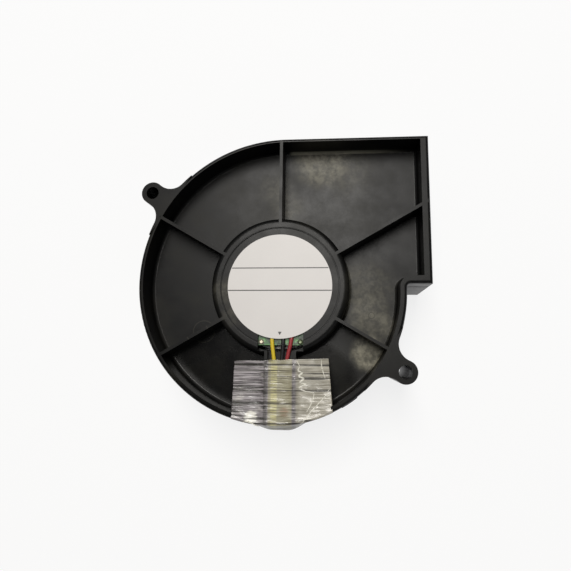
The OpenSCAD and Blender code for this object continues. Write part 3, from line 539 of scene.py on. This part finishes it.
def plate(outline, z, thickness):
    """Points and faces of a flat plate with this outline."""
    n = len(outline)
    points = [(x, y, z) for x, y in outline] + [(x, y, z + thickness) for x, y in outline]
    faces = [tuple(range(n, 2 * n)), tuple(range(n - 1, -1, -1))]
    faces += [(i, (i + 1) % n, n + (i + 1) % n, n + i) for i in range(n)]
    return points, faces


def joined(shapes):
    """Points and faces of several shapes as those of one."""
    points, faces = [], []
    for more, sides in shapes:
        faces += [tuple(i + len(points) for i in side) for side in sides]
        points += more
    return points, faces


def grid(rows, columns):
    """Quads over points that are listed row by row."""
    return [
        (r * columns + c, (r + 1) * columns + c, (r + 1) * columns + c + 1, r * columns + c + 1)
        for r in range(rows - 1)
        for c in range(columns - 1)
    ]


# ---------------------------------------------------------------- leads

LEAD_R = 0.65

# From the board over the rim, down the wall, round the foot of the scroll and to the connector.
ROUTES = {
    "red": [
        (4.4, -14.6, 31.8), (3.7, -19, 31.8), (2.5, -24.5, 31.3), (2, -42.3, 31.3),
        (2, -43.9, 30.95), (2, -45, 29.85), (2, -45.35, 28.2), (2, -45.35, 4.1), (1.5, -45.35, 2.2),
        (0.1, -45.4, 1.05), (-2, -45.4, 0.75), (-12.2, -44.2, 0.75), (-22.2, -40.7, 0.75),
        (-31.3, -35, 0.75), (-38.8, -27.4, 0.75), (-44.3, -18.3, 0.75), (-47.6, -8.2, 0.75),
        (-48.7, 3, 0.75), (-49.4, 31.5, 0.75), (-48.1, 35.6, 0.75), (-44.9, 37.5, 0.75),
        (-16.7, 48.5, 0.75), (-7, 51.1, 0.75), (2, 51.9, 0.75), (11, 52.5, 1.2), (20, 53.6, 2.4),
        (30.5, 53.7, 2.9),
    ],
    "black": [
        (1.4, -14.6, 31.8), (1.3, -19, 31.8), (0.9, -24.5, 31.3), (0.5, -42.3, 31.3),
        (0.5, -43.9, 30.95), (0.5, -45, 29.85), (0.5, -45.35, 28.2), (0.5, -45.4, 6.2),
        (-0.1, -45.7, 3.8), (-2.1, -46.5, 1.8), (-4.7, -46.75, 0.9), (-12.6, -45.5, 0.75),
        (-22.8, -41.9, 0.75), (-32.2, -36.1, 0.75), (-39.9, -28.2, 0.75), (-45.6, -18.9, 0.75),
        (-48.9, -8.4, 0.75), (-50.1, 3, 0.75), (-50.8, 31.8, 0.75), (-49.1, 36.7, 0.75),
        (-45.4, 38.8, 0.75), (-17.1, 49.8, 0.75), (-7.3, 52.5, 0.75), (2, 53.3, 0.75),
        (11, 55.4, 0.95), (21, 58.4, 2.3), (30.5, 58.7, 2.9),
    ],
    "yellow": [
        (-2.4, -14.6, 31.8), (-2.2, -19, 31.8), (-1.6, -24.5, 31.3), (-1, -42.3, 31.3),
        (-1, -43.9, 30.95), (-1, -45, 29.85), (-1, -45.35, 28.2), (-1, -45.4, 7.2),
        (-1.7, -45.6, 4.9), (-3.6, -45.9, 3), (-6.2, -45.9, 2.1), (-12.4, -44.8, 2),
        (-22.5, -41.3, 2), (-31.7, -35.5, 2), (-39.3, -27.8, 2), (-44.9, -18.6, 2),
        (-48.3, -8.3, 2), (-49.4, 3, 2), (-50.1, 31.6, 2), (-48.6, 36.1, 2), (-45.1, 38.1, 2),
        (-16.9, 49.1, 2), (-7.1, 51.8, 2), (2, 52.6, 2), (11, 54.2, 2.5), (20, 56, 2.9),
        (30.5, 56.2, 2.9),
    ],
}


def smooth_route(points, steps=6):
    """Points on a centripetal Catmull-Rom curve through the route's own points."""
    p = [Vector(q) for q in points]
    p = [2 * p[0] - p[1]] + p + [2 * p[-1] - p[-2]]
    out = []
    for a, b, c, d in zip(p, p[1:], p[2:], p[3:]):
        t0 = 0.0
        t1 = t0 + math.sqrt((b - a).length)
        t2 = t1 + math.sqrt((c - b).length)
        t3 = t2 + math.sqrt((d - c).length)
        for i in range(steps):
            t = t1 + (t2 - t1) * i / steps
            ab = a.lerp(b, (t - t0) / (t1 - t0))
            bc = b.lerp(c, (t - t1) / (t2 - t1))
            cd = c.lerp(d, (t - t2) / (t3 - t2))
            left = ab.lerp(bc, (t - t0) / (t2 - t0))
            right = bc.lerp(cd, (t - t1) / (t3 - t1))
            out.append(left.lerp(right, (t - t1) / (t2 - t1)))
    return out + [p[-2]]


def make_leads():
    for colour, route in ROUTES.items():
        curve = bpy.data.curves.new(f"{colour}_insulated_lead", "CURVE")
        curve.dimensions = "3D"
        curve.bevel_depth = LEAD_R * MM
        curve.bevel_resolution = 4
        curve.use_fill_caps = True
        line = smooth_route(route)
        spline = curve.splines.new("POLY")
        spline.points.add(len(line) - 1)
        for point, place in zip(spline.points, line):
            point.co = (*(place * MM), 1)
        spline.use_smooth = True
        lead = new_piece(f"{colour}_insulated_lead", curve, f"{colour}_insulation")
        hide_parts(f"{colour}_lead")


# ---------------------------------------------------------------- scroll wall

# Arcs of the housing's outer wall: centre x, centre y, radius.
UPPER_LEFT = (1.6, 1.6, 49.2)
LOWER_LEFT = (-1.6, 1.6, 46.0)
LOWER_RIGHT = (-1.6, -1.6, 42.8)


def rim_y(x):
    """Y of the housing's lower wall at x."""
    cx, cy, r = LOWER_RIGHT if x > LOWER_RIGHT[0] else LOWER_LEFT
    return cy - math.sqrt(r * r - (x - cx) ** 2)


# ---------------------------------------------------------------- tape

# How far the outer skin stands off what it covers, the film's thickness and its bend at the rim.
SKIN = 0.1
FILM_T = 0.12
FOLD_R = 0.9
GRID_ACROSS = 150
GRID_ALONG = 130

# The edge near the hub is cut askew, and the sides run apart towards the rim.
START_Y = TAPE_HIGH.y - 0.35
START_SLANT = 0.95
START_WAVE = 0.16
FLARE = 2.6
LEAN = 0.9

# The film rests on the channel's walls and sinks between and beside them.
CHANNEL_WALLS = (-4.1, 5.1)
WALL_WIDTH = 1.2
SAG = 0.32
SIDE_SAG = 1.7

# Over the leads it stands off the housing's wall, out to BULGE_Y.
BULGE_X = 0.5
BULGE_Y = -46.17
BULGE_HALF = 10
BULGE_SHOULDER = 7.8
BULGE_RUN = 4.4


def bell(value, centre, width):
    return math.exp(-(((value - centre) / width) ** 2))


def ease(t):
    t = min(max(t, 0), 1)
    return t * t * (3 - 2 * t)


def tape_lift(x, way):
    """How far the film's wrinkles rise, at a way along it from its start."""
    broad = 0.1 * noise.noise(Vector((x * 0.35, way * 0.5, 1)))
    return broad + 0.05 * noise.noise(Vector((x * 0.2, way * 2.3, 7)))


def tape_sag(x, share):
    """How far the film sinks off the channel's walls, at a share of its flat part."""
    free = 1 - sum(bell(x, wall, WALL_WIDTH) for wall in CHANNEL_WALLS)
    over_leads = CHANNEL_WALLS[0] < x < CHANNEL_WALLS[1]
    depth = SAG if over_leads else SAG * SIDE_SAG
    return depth * max(free, 0) * math.sin(math.pi * min(max(share, 0), 1)) ** 0.6


def tape_bulge(x, edge):
    """How far the film stands off the wall over the leads."""
    return (edge - BULGE_Y) * ease((BULGE_HALF - abs(x - BULGE_X)) / BULGE_SHOULDER)


def tape_point(u, v):
    """A point of the tape's outer skin: u runs across it along X, v from the hub over the rim."""
    x = TAPE_LOW.x + (TAPE_HIGH.x - TAPE_LOW.x) * u
    x += (v - 0.3) * (FLARE * u - LEAN)
    start = START_Y + START_SLANT * u + START_WAVE * noise.noise(Vector((u * 9, 0, 3)))
    edge = rim_y(x) - SKIN
    top = TAPE_HIGH.z + SKIN
    flat = start - edge - FOLD_R
    fold = FOLD_R * math.pi / 2
    drop = BACK_Z - TAPE_LOW.z - FOLD_R
    way = v * (flat + fold + drop)
    lift = tape_lift(x, way)
    if way < flat:
        return Vector((x, start - way, top - tape_sag(x, way / flat) + lift))
    if way < flat + fold:
        turn = (way - flat) / FOLD_R
        y = edge + FOLD_R - FOLD_R * math.sin(turn)
        down = FOLD_R - FOLD_R * math.cos(turn)
    else:
        y = edge - 0.1 * lift
        down = FOLD_R + way - flat - fold
    return Vector((x, y - tape_bulge(x, edge) * ease(down / BULGE_RUN), top - down))


def make_tape():
    across = [i / GRID_ACROSS for i in range(GRID_ACROSS + 1)]
    along = [j / GRID_ALONG for j in range(GRID_ALONG + 1)]
    points = [tape_point(u, v) for v in along for u in across]
    mesh = mesh_from("strapping_tape", points, grid(len(along), len(across)))
    tape = new_piece("strapping_tape", mesh, "strapping_tape")
    thick = tape.modifiers.new("thickness", "SOLIDIFY")
    thick.thickness = FILM_T * MM
    thick.offset = -1
    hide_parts("tape")


# Folds where the film has turned white, with painted highlights along them: places (u, v) on the tape, and
# half the fold's width.
CREASES = [
    ([(0.668, 0.02), (0.69, 0.09), (0.675, 0.14), (0.72, 0.17), (0.68, 0.21), (0.73, 0.25),
      (0.69, 0.29), (0.75, 0.32), (0.68, 0.36), (0.73, 0.4), (0.83, 0.44)], 0.34),
    ([(0.83, 0.45), (0.815, 0.53), (0.785, 0.6), (0.75, 0.67)], 0.24),
    ([(0.985, 0.43), (0.93, 0.52), (0.87, 0.59), (0.79, 0.68), (0.72, 0.77), (0.68, 0.82)], 0.22),
    ([(0.925, 0.01), (0.922, 0.1), (0.935, 0.19), (0.95, 0.27)], 0.2),
    ([(0.11, 0.8), (0.17, 0.775), (0.22, 0.79), (0.26, 0.83), (0.3, 0.85)], 0.4),
]
CREASE_H = 0.09


def crease(line, width):
    """Points and faces of a low ridge that follows the tape's skin and thins out at its ends."""
    way = [place.xy for place in smooth_route([(u, v, 0) for u, v in line], 5)]
    points = []
    for i, place in enumerate(way):
        here = tape_point(*place)
        ahead = tape_point(*way[min(i + 1, len(way) - 1)])
        behind = tape_point(*way[max(i - 1, 0)])
        side = (ahead - behind).normalized().cross(UP).normalized()
        half = width * (0.35 + 0.65 * math.sin(math.pi * (i + 0.5) / len(way)))
        half *= 0.7 + 0.6 * abs(noise.noise(Vector((i * 0.9, width * 40, 0))))
        points += [here - side * half, here + CREASE_H * UP, here + side * half]
    return points, grid(len(way), 3)


def make_creases():
    mesh = mesh_from("tape_creases", *joined(crease(*fold) for fold in CREASES))
    new_piece("tape_creases", mesh, "tape_crease")


# ---------------------------------------------------------------- ears

# Where the two shells meet, and the lowest point of the cover's webs.
SPLIT_Z = 22.1
SHELL_GAP = 0.2
COVER_LOW = 0.5

# Radii of an ear and of the hollow beside it, the ear's distance from the wall, and its webs' ends.
EAR_R = 3.8
EAR_HOLLOW_R = 5.5
EAR_REACH = 6.15
WEB_ROOT = 1
WEB_FADE = math.radians(5)

# Each ear's arc of the wall, and its direction from the arc's centre in degrees.
EARS = ((UPPER_LEFT, 146.3), (LOWER_RIGHT, -31.7))


def arc_points(centre, radius, start, end, steps=14):
    """Points on the shorter arc between two directions, in radians."""
    turn = (end - start + math.pi) % (2 * math.pi) - math.pi
    angles = [start + turn * i / steps for i in range(steps + 1)]
    return [centre + radius * Vector((math.cos(a), math.sin(a))) for a in angles]


def heading(vector):
    return math.atan2(vector.y, vector.x)


def ear_webs(arc, degrees):
    """Outlines of the two webs in which an ear runs out into the scroll's wall."""
    cx, cy, wall_r = arc
    angle = math.radians(degrees)
    middle = Vector((cx, cy))
    way = Vector((math.cos(angle), math.sin(angle)))
    far = wall_r + EAR_REACH
    tip = EAR_R + EAR_HOLLOW_R
    spread = math.acos((tip**2 + far**2 - (wall_r + EAR_HOLLOW_R) ** 2) / (2 * tip * far))
    root_r = wall_r - WEB_ROOT
    root = middle + way * root_r
    for side in (-1, 1):
        turn = angle + math.pi + side * spread
        hollow = middle + way * far + tip * Vector((math.cos(turn), math.sin(turn)))
        tangent = heading(hollow - middle)
        outline = arc_points(middle, wall_r, tangent - side * WEB_FADE, tangent, 5)
        outline += arc_points(hollow, EAR_HOLLOW_R, heading(middle - hollow), heading(root - hollow))[1:]
        outline += arc_points(middle, root_r, angle, tangent)
        yield [tuple(point) for point in outline]


def make_ear_webs():
    outlines = [outline for ear in EARS for outline in ear_webs(*ear)]
    for name, low, high in (("frame", SPLIT_Z, BACK_Z), ("cover", COVER_LOW, SPLIT_Z - SHELL_GAP)):
        webs = joined(plate(outline, low, high - low) for outline in outlines)
        mesh = mesh_from(f"{name}_ear_webs", *webs, smooth=False)
        new_piece(f"{name}_ear_webs", mesh, f"{name}_plastic")


# ---------------------------------------------------------------- label print

INK_T = 0.02
RULED_Y = (5.94, -1.51)
LINE_W = 0.34
LINE_INSET = 0.05
POINTER = [(-0.35, -14.95), (0.25, -16.05), (0.9, -14.95)]


def ruled_line(y):
    """Outline of a line that runs from edge to edge of the label."""
    half = math.sqrt(LABEL_R**2 - (abs(y) + LINE_W) ** 2) - LINE_INSET
    low, high = y - LINE_W / 2, y + LINE_W / 2
    return [(-half, low), (half, low), (half, high), (-half, high)]


def make_print():
    """Two ruled lines across the label and a small pointer above the leads."""
    outlines = [ruled_line(y) for y in RULED_Y] + [POINTER]
    shapes = joined(plate(outline, LABEL_HIGH.z, INK_T) for outline in outlines)
    mesh = mesh_from("label_print", *shapes, smooth=False)
    new_piece("label_print", mesh, "label_ink")


# ---------------------------------------------------------------- floor, light

FLOOR_HALF = 3000
FLOOR_GLOW = 0.82

# Name, place, target, size, watts, colour.
LAMPS = [
    ("key", (-30, 350, 950), (0, 10, 30), (330, 600), 8.7, (1, 0.975, 0.93)),
    ("fill", (620, -720, 620), (0, 0, 20), (500, 500), 0.75, (0.93, 0.96, 1)),
    ("top", (0, 0, 1300), (0, 0, 20), (1500, 1500), 0.5, (1, 1, 1)),
]
SKY = (0.96, 0.98, 1, 1)
SKY_STRENGTH = 0.08


def white_ground():
    """White ground with a glow that is seen, mirrored and seen through film, but lights nothing."""
    look = Look("floor", (0.9, 0.9, 0.9), 0.9)
    rays = look.node("ShaderNodeLightPath").outputs
    seen = look.total(rays["Is Camera Ray"], rays["Is Glossy Ray"], rays["Is Transmission Ray"])
    both = look.node("ShaderNodeMixShader")
    look.link(look.times(seen, FLOOR_GLOW), both.inputs[0])
    look.link(look.shader.outputs[0], both.inputs[1])
    look.link(look.node("ShaderNodeEmission").outputs[0], both.inputs[2])
    look.link(both.outputs[0], look.tree.nodes["Material Output"].inputs["Surface"])
    return look.material


def make_floor():
    corners = [(-1, -1), (1, -1), (1, 1), (-1, 1)]
    mesh = mesh_from("floor", [(x * FLOOR_HALF, y * FLOOR_HALF, 0) for x, y in corners], [(0, 1, 2, 3)])
    mesh.materials.append(white_ground())
    floor = bpy.data.objects.new("floor", mesh)
    bpy.context.scene.collection.objects.link(floor)


def area_light(name, place, target, size, watts, color):
    data = bpy.data.lights.new(name, "AREA")
    data.shape = "RECTANGLE"
    data.size, data.size_y = (s * MM for s in size)
    data.energy = watts
    data.color = color
    lamp = bpy.data.objects.new(name, data)
    lamp.location = Vector(place) * MM
    aim = Vector(target) - Vector(place)
    lamp.rotation_euler = aim.to_track_quat("-Z", "Y").to_euler()
    bpy.context.scene.collection.objects.link(lamp)


def make_lights():
    for lamp in LAMPS:
        area_light(*lamp)
    world = bpy.data.worlds.new("world")
    bpy.context.scene.world = world
    world.use_nodes = True
    sky = world.node_tree.nodes["Background"]
    sky.inputs["Color"].default_value = SKY
    sky.inputs["Strength"].default_value = SKY_STRENGTH


# ---------------------------------------------------------------- scene

make_camera()
dress_nodes()
make_leads()
make_tape()
make_creases()
make_ear_webs()
make_print()
make_floor()
make_lights()
bpy.context.scene.view_settings.view_transform = "Standard"
